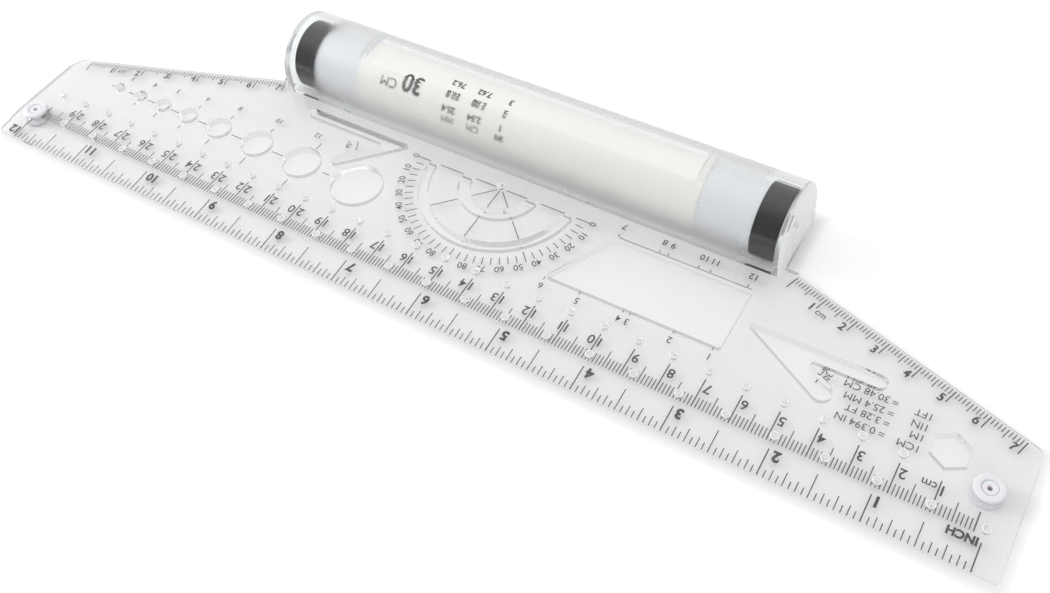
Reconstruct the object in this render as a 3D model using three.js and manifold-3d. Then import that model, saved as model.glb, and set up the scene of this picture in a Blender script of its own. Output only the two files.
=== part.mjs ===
// A rolling parallel ruler: a clear drawing plate with scales, carried by a roller under a clear hood
// and by the feet of two pivot bushes.
// Millimetres, +Z up. The origin is on the table under the middle of the ruler, X runs along the inch
// edge, and +Y points from the roller to the inch edge.

import * as THREE from 'three';
import { mergeVertices } from 'three/addons/utils/BufferGeometryUtils.js';
import Module from 'manifold-3d';

const wasm = await Module();
wasm.setup();

// Scales
const inch = 25.4;
const centimetre = 10;
const scaleInches = 12;
const scaleCentimetres = 30;

// Plate
const plateEndMargin = 6.1;
const plateThickness = 2.5;
const plateLift = 1.3;
const shortEndDepth = 37.6;
const shoulderBehindHoodFront = 4.1;
const shoulderWidth = 4;
const outerCornerRadius = 2.5;
const frontCornerRadius = 1;
const tabCornerRadius = 0.8;

// Bevels of the inch edge and of the two slanted edges
const bevelEdgeThickness = 1;
const inchBevelWidth = 9;
const slantBevelWidth = 5.5;

// Pin holes
const pinHoleRadius = 0.85;
const inchRowDepth = 11.1;
const pinRowSpacing = 9.9;

// Hexagonal hole
const hexagonAcrossFlats = 9;
const hexagonFromBush = 10.6;
const hexagonBehindPins = 5.9;

// Protractor: two half-ring slots round a pin hole
const protractorX = 0.4;
const innerSlotRadius = 9.2;
const innerSlotWidth = 3.7;
const slotRingSpacing = 8.8;
const outerSlotWidth = 2.9;
const protractorBehindPins = 4.95;
const protractorBaseGap = 1.7;
const protractorPinRadius = 0.8;

// Slanted window, its long side towards the inch scale
const windowLength = 52;
const windowWidth = 21.5;
const windowSlant = 11.5;
const windowFromProtractor = 3.3;
const windowBehindPins = 6.35;
const windowCornerRadius = 0.8;

// Circle templates
const circleRadius = 8;
const circleRowLength = 96.2;
const circlesFromProtractor = 6.3;
const circlesBehindPins = 2.55;
const circleRadiusShares = [1, 0.75, 0.625, 0.5, 0.375, 0.3125, 0.25, 0.1875];
const circlePlaceShares = [0, 0.215, 0.398, 0.558, 0.691, 0.804, 0.904, 1];

// Angle slots
const slotTipRadius = 0.7;
const slopeThirty = Math.PI / 6;
const thirtyFromWindow = 1.8;
const thirtyBehindPins = 2.5;
const thirtyBaseLength = 39;
const thirtyBaseWidth = 4.1;
const thirtyArmLength = 30.5;
const thirtyArmWidth = 5.5;
const slopeFortyFive = Math.PI / 4;
const fortyFiveBeforeCircles = 5.8;
const fortyFiveBehindProtractor = 1.6;
const fortyFiveBaseLength = 37.5;
const fortyFiveBaseWidth = 3.1;
const fortyFiveEndBehindCircles = 3.2;
const fortyFiveArmWidth = 3.3;

// Roller: a hollow barrel in a thin printed sleeve, with a tyre, a plug and a steel pin at each end
const rollerLength = 161.6;
const rollerWindowBehindProtractor = 9.4;
const tyreRadius = 10.2;
const tyreWidth = 7.2;
const tyreThickness = 1.8;
const tyreEdgeRadius = 0.5;
const tyreProud = 0.8;
const tyreSeatGap = 0.2;
const barrelLip = 0.3;
const barrelWall = 0.8;
const barrelEdgeChamfer = 0.3;
const sleeveLength = 114;
const sleeveThickness = 0.25;
const sleeveProud = 0.05;
const plugThickness = 2;
const plugHubRadius = 3.4;
const plugHubLength = 4;
const plugRimWidth = 1.4;
const plugDish = 0.7;
const pinRadius = 1.5;
const pinChamfer = 0.3;
const pinEndGap = 0.2;

// Hood and its bearing inserts
const hoodClearance = 1.1;
const hoodWall = 1.8;
const hoodEndWall = 2.7;
const hoodEndLean = 1.2;
const hoodEndRound = 1.3;
const hoodWindowLength = 110.4;
const hoodWindowWall = 1.14;
const hoodWindowGap = 0.45;
const insertWidth = 6;
const insertCoverWall = 1.05;

// Pivot bushes and their caps
const footRadius = 4.05;
const footChamfer = 0.35;
const neckRadius = 3;
const tipRadius = 1.9;
const bushPinRadius = 0.6;
const bushMouthChamfer = 0.3;
const capRadius = 3.9;
const capThickness = 0.85;
const capEdgeRadius = 0.55;
const capDish = 0.25;
const capDishSlope = 0.35;

// Clearances
const runningClearance = 0.07;
const seatGap = 0.1;
const insertClearance = 0.15;
const footGap = 0.2;
const capLift = 0.1;
const rollerEndPlay = 0.5;
const windowTyreClearance = 0.66;
const overrun = 2;
const weldDistance = 0.001;

// Facets
const pinHoleSides = 10;
const bearingSides = 24;
const rollerSides = 48;
const hoodSides = 44;
const cornerSteps = 4;
const edgeSteps = 2;
const roundEndSteps = 8;
const slotSteps = 30;
const circleSides = 28;
const smallCircleSides = 16;

// Heights
const plateTop = plateLift + plateThickness;
const axisZ = tyreRadius;
const hoodBase = plateTop + seatGap;

// Roller and hood sections, from the axis outwards
const barrelRadius = tyreRadius - tyreProud;
const sleeveRadius = barrelRadius + sleeveProud;
const sleeveInnerRadius = sleeveRadius - sleeveThickness;
const sleeveSeatRadius = sleeveInnerRadius - seatGap;
const tyreInnerRadius = tyreRadius - tyreThickness;
const tyreSeatRadius = tyreInnerRadius - tyreSeatGap;
const barrelBoreRadius = tyreSeatRadius - barrelWall;
const plugRadius = barrelBoreRadius - seatGap;
const hoodInnerRadius = tyreRadius + hoodClearance;
const hoodRadius = hoodInnerRadius + hoodWall;
const windowInnerFlat = sleeveRadius + hoodWindowGap;
const windowOuterFlat = windowInnerFlat + hoodWindowWall;

// Depths behind the inch edge
const centimetreRowDepth = inchRowDepth + pinRowSpacing;
const pinsDepth = centimetreRowDepth + pinHoleRadius;
const outerSlotRadius = innerSlotRadius + innerSlotWidth + slotRingSpacing;
const protractorReach = outerSlotRadius + outerSlotWidth;
const protractorDepth = pinsDepth + protractorBehindPins + protractorReach;
const hexagonDepth = centimetreRowDepth + hexagonBehindPins;
const windowDepth = pinsDepth + windowBehindPins;
const circleRowDepth = pinsDepth + circlesBehindPins + circleRadius;
const thirtySlotDepth = pinsDepth + thirtyBehindPins + thirtyArmLength * Math.sin(slopeThirty);
const fortyFiveSlotDepth = protractorDepth + fortyFiveBehindProtractor;
const fortyFiveRise = fortyFiveSlotDepth - circleRowDepth - fortyFiveEndBehindCircles;
const fortyFiveArmLength = fortyFiveRise / Math.sin(slopeFortyFive);
const tyreAxisToPlateTop = axisZ - plateTop;
const rollerWindowHalfWidth = Math.sqrt(tyreRadius ** 2 - tyreAxisToPlateTop ** 2) + windowTyreClearance;
const rollerDepth = protractorDepth + rollerWindowBehindProtractor + rollerWindowHalfWidth;
const shoulderDepth = rollerDepth - hoodRadius + shoulderBehindHoodFront;
const plateDepth = rollerDepth + hoodRadius;
const inchEdgeY = plateDepth / 2;
const axisY = inchEdgeY - rollerDepth;

// Places along the inch edge
const inchScaleLength = scaleInches * inch;
const centimetreScaleLength = scaleCentimetres * centimetre;
const plateHalf = Math.max(inchScaleLength, centimetreScaleLength) / 2 + plateEndMargin;
const inchStartX = -inchScaleLength / 2;
const centimetreStartX = -centimetreScaleLength / 2;
const inchBushX = inchStartX + inchScaleLength;
const centimetreBushX = centimetreStartX;
const hexagonX = centimetreBushX + hexagonFromBush;
const windowLeftX = protractorX - protractorReach - windowFromProtractor - windowLength;
const thirtySlotX = windowLeftX - thirtyFromWindow;
const circleRowX = protractorX + protractorReach + circlesFromProtractor + circleRadius;
const fortyFiveSlotX = circleRowX - fortyFiveBeforeCircles;
const rollerHalf = rollerLength / 2;
const hoodInnerHalf = rollerHalf + rollerEndPlay;
const hoodHalf = hoodInnerHalf + hoodEndWall;
const shoulderX = hoodHalf + shoulderWidth;

// Y of a place given by its depth behind the inch edge
function atDepth(depth) {
  return inchEdgeY - depth;
}

// Points of an arc, both ends included
function arcPoints(x, y, radius, from, sweep, steps) {
  return Array.from({ length: steps + 1 }, (_, i) => {
    const angle = from + sweep * i / steps;
    return new THREE.Vector2(x + radius * Math.cos(angle), y + radius * Math.sin(angle));
  });
}

// A round hole whose flats touch the named radius, so a round shaft of that radius still fits
function roundHole(x, y, radius, sides) {
  const reach = radius / Math.cos(Math.PI / sides);
  return arcPoints(x, y, reach, 0, 2 * Math.PI, sides).slice(0, -1);
}

// A closed outline through corners [x, y, radius], each rounded by its own radius
function roundedOutline(corners, steps = cornerSteps) {
  const points = corners.map(([x, y]) => new THREE.Vector2(x, y));
  const outline = points.flatMap((corner, i) => {
    const radius = corners[i][2];
    if (radius === 0) return [corner];
    const toLast = points.at(i - 1).clone().sub(corner).normalize();
    const toNext = points[(i + 1) % points.length].clone().sub(corner).normalize();
    const halfAngle = Math.acos(toLast.dot(toNext)) / 2;
    const tangent = radius / Math.tan(halfAngle);
    const start = corner.clone().addScaledVector(toLast, tangent);
    const end = corner.clone().addScaledVector(toNext, tangent);
    const middle = toLast.clone().add(toNext).normalize();
    const centre = corner.clone().addScaledVector(middle, radius / Math.sin(halfAngle));
    const from = start.clone().sub(centre).angle();
    const turn = end.clone().sub(centre).angle() - from;
    const sweep = Math.atan2(Math.sin(turn), Math.cos(turn));
    return arcPoints(centre.x, centre.y, radius, from, sweep, steps);
  });
  return outline.filter((point, i) => point.distanceTo(outline.at(i - 1)) > weldDistance);
}

// A half-ring slot over the centre, cut off level above the line through it
function halfRingSlot(x, y, innerRadius, width, baseGap) {
  const outerRadius = innerRadius + width;
  const outerFrom = Math.asin(baseGap / outerRadius);
  const innerFrom = Math.asin(baseGap / innerRadius);
  return [
    ...arcPoints(x, y, outerRadius, outerFrom, Math.PI - 2 * outerFrom, slotSteps),
    ...arcPoints(x, y, innerRadius, innerFrom, Math.PI - 2 * innerFrom, slotSteps).reverse(),
  ];
}

// Two round-ended arms that leave one tip: the base arm along X and the other turned from it by the slope
function angleSlot({ x, y, side, slope, baseLength, baseWidth, armLength, armWidth }) {
  const along = new THREE.Vector2(side * Math.cos(slope), Math.sin(slope));
  const inward = new THREE.Vector2(side * Math.sin(slope), -Math.cos(slope));
  const innerReach = (armWidth + baseWidth * Math.cos(slope)) / Math.sin(slope);
  const at = (length, offset) => [
    x + along.x * length + inward.x * offset,
    y + along.y * length + inward.y * offset,
  ];
  return roundedOutline([
    [x, y, slotTipRadius],
    [x + side * baseLength, y, baseWidth / 2],
    [x + side * baseLength, y + baseWidth, baseWidth / 2],
    [x + side * innerReach, y + baseWidth, slotTipRadius],
    [...at(armLength, armWidth), armWidth / 2],
    [...at(armLength, 0), armWidth / 2],
  ], roundEndSteps);
}

// Solids for cutting and joining
function solid(geometry) {
  const bare = geometry.clone();
  bare.deleteAttribute('normal');
  bare.deleteAttribute('uv');
  const welded = mergeVertices(bare);
  return new wasm.Manifold(new wasm.Mesh({
    numProp: 3,
    vertProperties: new Float32Array(welded.attributes.position.array),
    triVerts: new Uint32Array(welded.index.array),
  }));
}

function surface(manifold) {
  const mesh = manifold.getMesh();
  const geometry = new THREE.BufferGeometry();
  geometry.setAttribute('position', new THREE.BufferAttribute(mesh.vertProperties, 3));
  geometry.setIndex(new THREE.BufferAttribute(mesh.triVerts, 1));
  geometry.computeVertexNormals();
  return geometry;
}

// A flat outline with its holes, raised from one height to another
function raised(outline, holes, bottom, top) {
  const shape = new THREE.Shape(outline);
  shape.holes = holes.map((hole) => new THREE.Path(hole));
  const geometry = new THREE.ExtrudeGeometry(shape, { depth: top - bottom, bevelEnabled: false });
  return geometry.translate(0, 0, bottom);
}

// A profile of (y, z) points run along X
function runAlongX(profile, from, to) {
  const geometry = new THREE.ExtrudeGeometry(new THREE.Shape(profile), {
    depth: to - from,
    bevelEnabled: false,
  });
  const basis = new THREE.Matrix4().makeBasis(
    new THREE.Vector3(0, 1, 0),
    new THREE.Vector3(0, 0, 1),
    new THREE.Vector3(1, 0, 0),
  );
  return geometry.applyMatrix4(basis).translate(from, 0, 0);
}

// A closed profile of [radius, height] points turned about Z
function turned(profile, sides) {
  const points = [...profile, profile[0]].map(([radius, height]) => new THREE.Vector2(radius, height));
  return new THREE.LatheGeometry(points, sides).rotateX(Math.PI / 2);
}

// The same about the roller's axis, heights measured outwards from the middle on one side
function turnedOnRoller(profile, sides, side) {
  const geometry = turned(profile, sides).rotateY(side * Math.PI / 2);
  return geometry.translate(0, axisY, axisZ);
}

// Drawing plate
const hexagonReach = hexagonAcrossFlats / 2 / Math.cos(Math.PI / 6);

function hexagonHole() {
  const turnedFlat = Math.PI / 6;
  return arcPoints(hexagonX, atDepth(hexagonDepth), hexagonReach, turnedFlat, 2 * Math.PI, 6).slice(0, -1);
}

function pinRow(startX, pitch, first, last, depth) {
  return Array.from({ length: last - first + 1 }, (_, i) => {
    return roundHole(startX + pitch * (first + i), atDepth(depth), pinHoleRadius, pinHoleSides);
  });
}

// The hexagonal hole takes the place of the first centimetre's pin hole, and a bush that of the last half inch
function pinHoles() {
  const halfInches = 2 * scaleInches;
  return [
    ...pinRow(inchStartX, inch / 2, 0, halfInches - 1, inchRowDepth),
    ...pinRow(centimetreStartX, centimetre, 2, scaleCentimetres, centimetreRowDepth),
    roundHole(protractorX, atDepth(protractorDepth), protractorPinRadius, pinHoleSides),
  ];
}

function circleHoles() {
  return circleRadiusShares.map((share, i) => {
    const x = circleRowX + circlePlaceShares[i] * circleRowLength;
    const sides = i < circleRadiusShares.length / 2 ? circleSides : smallCircleSides;
    return roundHole(x, atDepth(circleRowDepth), share * circleRadius, sides);
  });
}

function drawingHoles() {
  const windowFront = atDepth(windowDepth);
  const windowBack = windowFront - windowWidth;
  const protractorY = atDepth(protractorDepth);
  return [
    hexagonHole(),
    ...circleHoles(),
    roundedOutline([
      [windowLeftX, windowFront, windowCornerRadius],
      [windowLeftX + windowLength, windowFront, windowCornerRadius],
      [windowLeftX + windowLength - windowSlant, windowBack, windowCornerRadius],
      [windowLeftX, windowBack, windowCornerRadius],
    ]),
    halfRingSlot(protractorX, protractorY, innerSlotRadius, innerSlotWidth, protractorBaseGap),
    halfRingSlot(protractorX, protractorY, outerSlotRadius, outerSlotWidth, protractorBaseGap),
    angleSlot({
      x: thirtySlotX,
      y: atDepth(thirtySlotDepth),
      side: -1,
      slope: slopeThirty,
      baseLength: thirtyBaseLength,
      baseWidth: thirtyBaseWidth,
      armLength: thirtyArmLength,
      armWidth: thirtyArmWidth,
    }),
    angleSlot({
      x: fortyFiveSlotX,
      y: atDepth(fortyFiveSlotDepth),
      side: 1,
      slope: slopeFortyFive,
      baseLength: fortyFiveBaseLength,
      baseWidth: fortyFiveBaseWidth,
      armLength: fortyFiveArmLength,
      armWidth: fortyFiveArmWidth,
    }),
  ];
}

function bushHoles() {
  const radius = neckRadius + runningClearance;
  return [
    roundHole(inchBushX, atDepth(inchRowDepth), radius, bearingSides),
    roundHole(centimetreBushX, atDepth(centimetreRowDepth), radius, bearingSides),
  ];
}

function rollerWindow() {
  const back = axisY - rollerWindowHalfWidth;
  const front = axisY + rollerWindowHalfWidth;
  return roundedOutline([
    [-hoodInnerHalf, back, tabCornerRadius],
    [hoodInnerHalf, back, tabCornerRadius],
    [hoodInnerHalf, front, tabCornerRadius],
    [-hoodInnerHalf, front, tabCornerRadius],
  ]);
}

function plateOutline() {
  const front = atDepth(0);
  const endOfShortSide = atDepth(shortEndDepth);
  const shoulder = atDepth(shoulderDepth);
  const back = atDepth(plateDepth);
  return roundedOutline([
    [-plateHalf, front, frontCornerRadius],
    [-plateHalf, endOfShortSide, outerCornerRadius],
    [-shoulderX, shoulder, tabCornerRadius],
    [-hoodHalf, shoulder, tabCornerRadius],
    [-hoodHalf, back, tabCornerRadius],
    [hoodHalf, back, tabCornerRadius],
    [hoodHalf, shoulder, tabCornerRadius],
    [shoulderX, shoulder, tabCornerRadius],
    [plateHalf, endOfShortSide, outerCornerRadius],
    [plateHalf, front, frontCornerRadius],
  ]);
}

// What a bevel takes off: a wedge along X whose thin side lies along y = 0 and whose body is towards -Y
function bevelWedge(width, from, to) {
  const edge = new THREE.Vector2(0, plateLift + bevelEdgeThickness);
  const inner = new THREE.Vector2(-width, plateTop);
  const slope = inner.clone().sub(edge).normalize();
  const low = edge.clone().addScaledVector(slope, -overrun);
  const high = inner.clone().addScaledVector(slope, overrun);
  const lid = plateTop + overrun;
  return runAlongX([low, new THREE.Vector2(low.x, lid), new THREE.Vector2(high.x, lid), high], from, to);
}

function slantWedge(side) {
  const run = plateHalf - shoulderX;
  const rise = shoulderDepth - shortEndDepth;
  const length = Math.hypot(run, rise) + overrun;
  const wedge = bevelWedge(slantBevelWidth, -length, 0);
  wedge.rotateZ(Math.PI + Math.atan2(rise, run));
  wedge.translate(shoulderX, atDepth(shoulderDepth), 0);
  return side > 0 ? solid(wedge) : solid(wedge).mirror([1, 0, 0]);
}

function plateGeometry() {
  const holes = [rollerWindow(), ...bushHoles(), ...pinHoles(), ...drawingHoles()];
  const blank = solid(raised(plateOutline(), holes, plateLift, plateTop));
  const inchWedge = bevelWedge(inchBevelWidth, -plateHalf - overrun, plateHalf + overrun);
  inchWedge.translate(0, inchEdgeY, 0);
  return surface(blank.subtract(solid(inchWedge)).subtract(slantWedge(1)).subtract(slantWedge(-1)));
}

// Hood: straight walls under a half round, its ends leaning in and rounded into the walls
const hoodHeight = axisZ + hoodRadius - hoodBase;

function hoodSection(radius, bottom) {
  return [
    new THREE.Vector2(axisY + radius, bottom),
    ...arcPoints(axisY, axisZ, radius, 0, Math.PI, hoodSides),
    new THREE.Vector2(axisY - radius, bottom),
  ];
}

function hoodRing(x, inset) {
  const side = Math.sign(x);
  return hoodSection(hoodRadius - inset, hoodBase).map((point) => {
    const lean = hoodEndLean * (point.y - hoodBase) / hoodHeight;
    return new THREE.Vector3(x - side * lean, point.x, point.y);
  });
}

// Closed body over rings of equal count, with flat fans over the first and the last
function loft(rings) {
  const count = rings[0].length;
  const positions = rings.flat().flatMap((point) => point.toArray());
  const index = [];
  rings.slice(1).forEach((_, ring) => {
    for (let i = 0; i < count; i += 1) {
      const a = ring * count + i;
      const b = ring * count + (i + 1) % count;
      index.push(a, b, a + count, b, b + count, a + count);
    }
  });
  const last = (rings.length - 1) * count;
  for (let i = 1; i < count - 1; i += 1) {
    index.push(0, i + 1, i);
    index.push(last, last + i, last + i + 1);
  }
  const geometry = new THREE.BufferGeometry();
  geometry.setAttribute('position', new THREE.Float32BufferAttribute(positions, 3));
  geometry.setIndex(index);
  return geometry;
}

function hoodShell() {
  const end = Array.from({ length: cornerSteps + 1 }, (_, i) => {
    const angle = Math.PI / 2 * i / cornerSteps;
    return [hoodHalf - hoodEndRound * (1 - Math.cos(angle)), hoodEndRound * (1 - Math.sin(angle))];
  });
  const left = end.map(([x, inset]) => hoodRing(-x, inset));
  const right = end.toReversed().map(([x, inset]) => hoodRing(x, inset));
  return loft([...left, ...right]);
}

function boxBetween(low, high) {
  const size = high.clone().sub(low);
  const middle = low.clone().add(high).divideScalar(2);
  return new THREE.BoxGeometry(size.x, size.y, size.z).translate(middle.x, middle.y, middle.z);
}

// The block over the label that a flat takes away, outside the shell or left standing inside it
function blockOver(halfLength, height) {
  return solid(boxBetween(
    new THREE.Vector3(-halfLength, axisY - hoodRadius - overrun, axisZ + height),
    new THREE.Vector3(halfLength, axisY + hoodRadius + overrun, axisZ + hoodRadius + overrun),
  ));
}

// Upright with a half-round top about the roller's axis
function insertOutline(halfWidth, bottom) {
  return [
    new THREE.Vector2(axisY + halfWidth, bottom),
    ...arcPoints(axisY, axisZ, halfWidth, 0, Math.PI, bearingSides / 2),
    new THREE.Vector2(axisY - halfWidth, bottom),
  ];
}

const insertHalfWidth = insertWidth / 2;
const insertThickness = hoodEndWall - insertCoverWall - insertClearance;

function insertPocket() {
  const outline = insertOutline(insertHalfWidth + insertClearance, hoodBase - overrun);
  const reach = hoodInnerHalf + insertThickness + insertClearance;
  return solid(runAlongX(outline, -reach, reach));
}

function hoodGeometry() {
  const cavity = solid(runAlongX(
    hoodSection(hoodInnerRadius, hoodBase - overrun),
    -hoodInnerHalf,
    hoodInnerHalf,
  ));
  const windowHalf = hoodWindowLength / 2;
  const flatInside = cavity.subtract(blockOver(windowHalf + hoodWall, windowInnerFlat));
  const shell = solid(hoodShell()).subtract(blockOver(windowHalf, windowOuterFlat));
  return surface(shell.subtract(flatInside).subtract(insertPocket()));
}

function insertGeometry(side) {
  const inner = hoodInnerHalf;
  const outer = hoodInnerHalf + insertThickness;
  const outline = new THREE.Shape(insertOutline(insertHalfWidth, plateTop + seatGap));
  outline.holes = [new THREE.Path(roundHole(axisY, axisZ, pinRadius + runningClearance, bearingSides))];
  const geometry = new THREE.ExtrudeGeometry(outline, { depth: outer - inner, bevelEnabled: false });
  const basis = new THREE.Matrix4().makeBasis(
    new THREE.Vector3(0, 1, 0),
    new THREE.Vector3(0, 0, 1),
    new THREE.Vector3(1, 0, 0),
  );
  return geometry.applyMatrix4(basis).translate(side > 0 ? inner : -outer, 0, 0);
}

// Roller: every piece is turned about one axis
const tyreOuterX = rollerHalf - barrelLip - seatGap;
const tyreInnerX = tyreOuterX - tyreWidth;
const tyreSeatInnerX = tyreInnerX - seatGap;
const tyreSeatOuterX = tyreOuterX + seatGap;
const sleeveHalf = sleeveLength / 2;
const sleeveSeatHalf = sleeveHalf + seatGap;

function barrelGeometry() {
  const side = [
    [sleeveSeatRadius, sleeveSeatHalf],
    [barrelRadius, sleeveSeatHalf],
    [barrelRadius, tyreSeatInnerX],
    [tyreSeatRadius, tyreSeatInnerX],
    [tyreSeatRadius, tyreSeatOuterX],
    [barrelRadius - barrelEdgeChamfer, tyreSeatOuterX],
    [barrelRadius - barrelEdgeChamfer, rollerHalf],
    [barrelBoreRadius, rollerHalf],
  ];
  const other = side.map(([radius, x]) => [radius, -x]).reverse();
  return turnedOnRoller([...other, ...side], rollerSides, 1);
}

function sleeveGeometry() {
  return turnedOnRoller([
    [sleeveInnerRadius, -sleeveHalf],
    [sleeveRadius, -sleeveHalf],
    [sleeveRadius, sleeveHalf],
    [sleeveInnerRadius, sleeveHalf],
  ], rollerSides, 1);
}

// Quarter-round edge of a turned piece, from its end face to its rim or back
function roundedEdge(radius, x, edgeRadius, outward) {
  const centre = [radius - edgeRadius, x - outward * edgeRadius];
  const from = outward > 0 ? 0 : -Math.PI / 2;
  return arcPoints(centre[0], centre[1], edgeRadius, from, Math.PI / 2, edgeSteps).map((p) => p.toArray());
}

function tyreGeometry(side) {
  return turnedOnRoller([
    [tyreInnerRadius, tyreInnerX],
    ...roundedEdge(tyreRadius, tyreInnerX, tyreEdgeRadius, -1),
    ...roundedEdge(tyreRadius, tyreOuterX, tyreEdgeRadius, 1),
    [tyreInnerRadius, tyreOuterX],
  ], rollerSides, side);
}

function plugGeometry(side) {
  const plugInnerX = rollerHalf - plugThickness;
  const hubEndX = plugInnerX - plugHubLength;
  const boreRadius = pinRadius + seatGap;
  return turnedOnRoller([
    [boreRadius, hubEndX],
    [plugHubRadius, hubEndX],
    [plugHubRadius, plugInnerX],
    [plugRadius, plugInnerX],
    [plugRadius, rollerHalf],
    [plugRadius - plugRimWidth, rollerHalf],
    [plugRadius - plugRimWidth, rollerHalf - plugDish],
    [plugHubRadius, rollerHalf - plugDish],
    [plugHubRadius, rollerHalf],
    [boreRadius, rollerHalf],
  ], bearingSides, side);
}

function pinGeometry(side) {
  const hubEndX = rollerHalf - plugThickness - plugHubLength;
  const tipX = hoodInnerHalf + insertThickness - pinEndGap;
  const profile = [
    [0, hubEndX],
    [pinRadius - pinChamfer, hubEndX],
    [pinRadius, hubEndX + pinChamfer],
    [pinRadius, tipX - pinChamfer],
    [pinRadius - pinChamfer, tipX],
    [0, tipX],
  ].map(([radius, x]) => new THREE.Vector2(radius, x));
  const geometry = new THREE.LatheGeometry(profile, bearingSides).rotateX(Math.PI / 2);
  return geometry.rotateY(side * Math.PI / 2).translate(0, axisY, axisZ);
}

// Pivot bush: a foot under the plate, a neck that turns in its hole and a tip at the bottom of the cap's dish
const capBottom = plateTop + capLift;
const capTop = capBottom + capThickness;
const tipTop = capTop - capDish;

function bushGeometry(x, y) {
  const footTop = plateLift - footGap;
  return turned([
    [bushPinRadius, 0],
    [footRadius - footChamfer, 0],
    [footRadius, footChamfer],
    [footRadius, footTop],
    [neckRadius, footTop],
    [neckRadius, capBottom],
    [tipRadius, capBottom],
    [tipRadius, tipTop],
    [bushPinRadius + bushMouthChamfer, tipTop],
    [bushPinRadius, tipTop - bushMouthChamfer],
  ], bearingSides).translate(x, y, 0);
}

function capGeometry(x, y) {
  return turned([
    [tipRadius + seatGap, capBottom],
    [capRadius, capBottom],
    ...roundedEdge(capRadius, capTop, capEdgeRadius, 1),
    [tipRadius + seatGap + capDishSlope, capTop],
    [tipRadius + seatGap, tipTop],
  ], bearingSides).translate(x, y, 0);
}

// Finishes
const finishes = {
  clearPlate: { color: 0xe4ece8, roughness: 0.08, metalness: 0, transparent: true, opacity: 0.4 },
  clearHood: { color: 0xdfe8ea, roughness: 0.15, metalness: 0, transparent: true, opacity: 0.45 },
  whiteNylon: { color: 0xf3f3ee, roughness: 0.45, metalness: 0 },
  whiteBarrel: { color: 0xeef2f7, roughness: 0.35, metalness: 0 },
  creamLabel: { color: 0xe8e5d6, roughness: 0.55, metalness: 0 },
  blackRubber: { color: 0x17181b, roughness: 0.8, metalness: 0 },
  greyPlastic: { color: 0xc9ccd0, roughness: 0.5, metalness: 0 },
  steel: { color: 0xb7bbc0, roughness: 0.3, metalness: 1 },
};

const ruler = new THREE.Group();

function place(name, geometry, finish) {
  const mesh = new THREE.Mesh(geometry, new THREE.MeshStandardMaterial(finishes[finish]));
  mesh.name = name;
  ruler.add(mesh);
}

place('ruler_plate', plateGeometry(), 'clearPlate');
place('roller_hood', hoodGeometry(), 'clearHood');
place('roller_barrel', barrelGeometry(), 'whiteBarrel');
place('label_sleeve', sleeveGeometry(), 'creamLabel');
[['left', -1], ['right', 1]].forEach(([hand, side]) => {
  place(`bearing_insert_${hand}`, insertGeometry(side), 'whiteNylon');
  place(`tyre_${hand}`, tyreGeometry(side), 'blackRubber');
  place(`end_plug_${hand}`, plugGeometry(side), 'greyPlastic');
  place(`axle_pin_${hand}`, pinGeometry(side), 'steel');
});
[
  ['inch', inchBushX, atDepth(inchRowDepth)],
  ['cm', centimetreBushX, atDepth(centimetreRowDepth)],
].forEach(([row, x, y]) => {
  place(`pivot_bush_${row}`, bushGeometry(x, y), 'whiteNylon');
  place(`pivot_cap_${row}`, capGeometry(x, y), 'whiteNylon');
});

export default ruler;
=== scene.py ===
"""The looks of a clear rolling ruler: clear mouldings, printed scales, a white roller on black tyres."""

import math

import bmesh
import bpy
from bpy.props import FloatProperty, FloatVectorProperty, PointerProperty
from mathutils import Matrix, Vector


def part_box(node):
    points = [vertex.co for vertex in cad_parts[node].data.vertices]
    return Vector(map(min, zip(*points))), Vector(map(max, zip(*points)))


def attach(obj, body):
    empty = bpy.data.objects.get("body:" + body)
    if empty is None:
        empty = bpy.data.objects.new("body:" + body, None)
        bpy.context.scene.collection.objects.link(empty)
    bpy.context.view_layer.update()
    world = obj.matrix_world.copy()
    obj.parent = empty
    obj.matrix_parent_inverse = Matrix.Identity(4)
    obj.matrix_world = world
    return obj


bl_info = {
    "name": "Rolling Ruler",
    "version": (1, 0, 0),
    "blender": (4, 5, 0),
    "location": "View3D > Sidebar > Ruler",
    "description": "Dresses a clear rolling ruler with its plastics, prints and studio",
    "category": "Object",
}

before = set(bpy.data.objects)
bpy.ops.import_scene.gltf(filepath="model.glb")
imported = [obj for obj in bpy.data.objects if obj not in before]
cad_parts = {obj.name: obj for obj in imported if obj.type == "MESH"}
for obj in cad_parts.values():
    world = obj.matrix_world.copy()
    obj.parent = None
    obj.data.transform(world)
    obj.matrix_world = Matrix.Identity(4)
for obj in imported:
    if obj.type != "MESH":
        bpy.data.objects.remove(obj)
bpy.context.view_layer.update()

MM = 0.001
INCH = 25.4
CENTIMETRE = 10.0

# The print's own datum: rows are measured from it towards the roller, columns from the ruler's middle.
DATUM_BEFORE_EDGE = 0.3
DATUM_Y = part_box("ruler_plate")[1].y / MM + DATUM_BEFORE_EDGE
UNDERSIDE_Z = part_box("ruler_plate")[0].z / MM
INCH_ZERO_X = -6 * INCH
CM_ZERO_X = -15 * CENTIMETRE
SLEEVE_LOW, SLEEVE_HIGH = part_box("label_sleeve")
AXIS_Y = (SLEEVE_LOW.y + SLEEVE_HIGH.y) / 2 / MM
AXIS_Z = (SLEEVE_LOW.z + SLEEVE_HIGH.z) / 2 / MM
SLEEVE_RADIUS = (SLEEVE_HIGH.z - SLEEVE_LOW.z) / 2 / MM

# How far the outlines of the letters are swollen, as shares of the letters' size.
BOLD_SHARE = 0.045
HALF_BOLD_SHARE = 0.03
BOOK_SHARE = 0.012
UNIT_SHARE = 0.008
SMALL_UNIT_SHARE = 0.006
LIGHT_SHARE = 0.004


def row(depth):
    """The Y of a row of print, in millimetres, from its depth behind the print's datum."""
    return DATUM_Y - depth


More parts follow.
